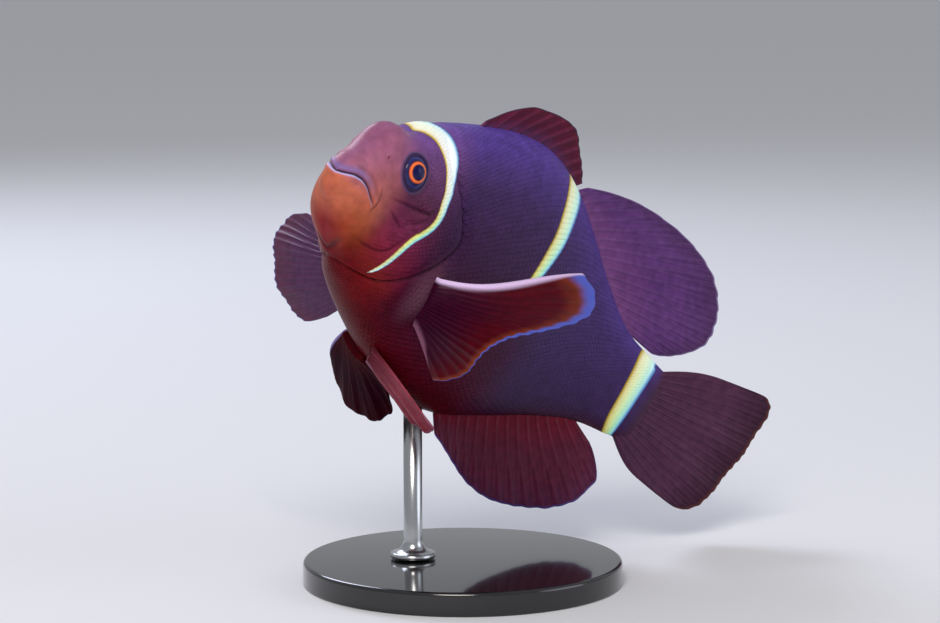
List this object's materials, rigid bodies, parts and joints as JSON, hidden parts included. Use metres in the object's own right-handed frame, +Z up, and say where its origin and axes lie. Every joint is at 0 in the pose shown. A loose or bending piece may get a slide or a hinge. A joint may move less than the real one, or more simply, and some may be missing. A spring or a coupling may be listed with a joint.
{
  "type": "maroon clownfish model",
  "caption": "Still life-size model of a maroon clownfish with spread fins and three pale bars, nose up, on a round display stand.",
  "frame": {"origin": "middle of the flat underside of the stand's base", "axes": "+Z up; the fish heads towards -X, nose up, and its left flank faces -Y"},
  "size_m": [0.1335, 0.086, 0.1008],
  "materials": {
    "scaled_skin": "satin, wet-looking scales over dark maroon skin",
    "fin_membrane": "satin, thin rayed membrane",
    "eye": "clear and wet",
    "stand_acrylic": "polished",
    "stand_steel": "brushed"
  },
  "bodies": {
    "root": {"head": "scaled_skin", "lower_jaw": "scaled_skin", "gill_cover_left": "scaled_skin", "gill_cover_right": "scaled_skin", "trunk": "scaled_skin", "tail_stalk": "scaled_skin", "eye_left": "eye", "eye_right": "eye", "dorsal_fin_spiny": "fin_membrane", "dorsal_fin_soft": "fin_membrane", "anal_fin": "fin_membrane", "tail_fin": "fin_membrane", "pectoral_fin_left": "fin_membrane", "pectoral_fin_right": "fin_membrane", "pelvic_fin_left": "fin_membrane", "pelvic_fin_right": "fin_membrane", "stand_base": "stand_acrylic", "stand_rod": "stand_steel"}
  },
  "joints": []
}
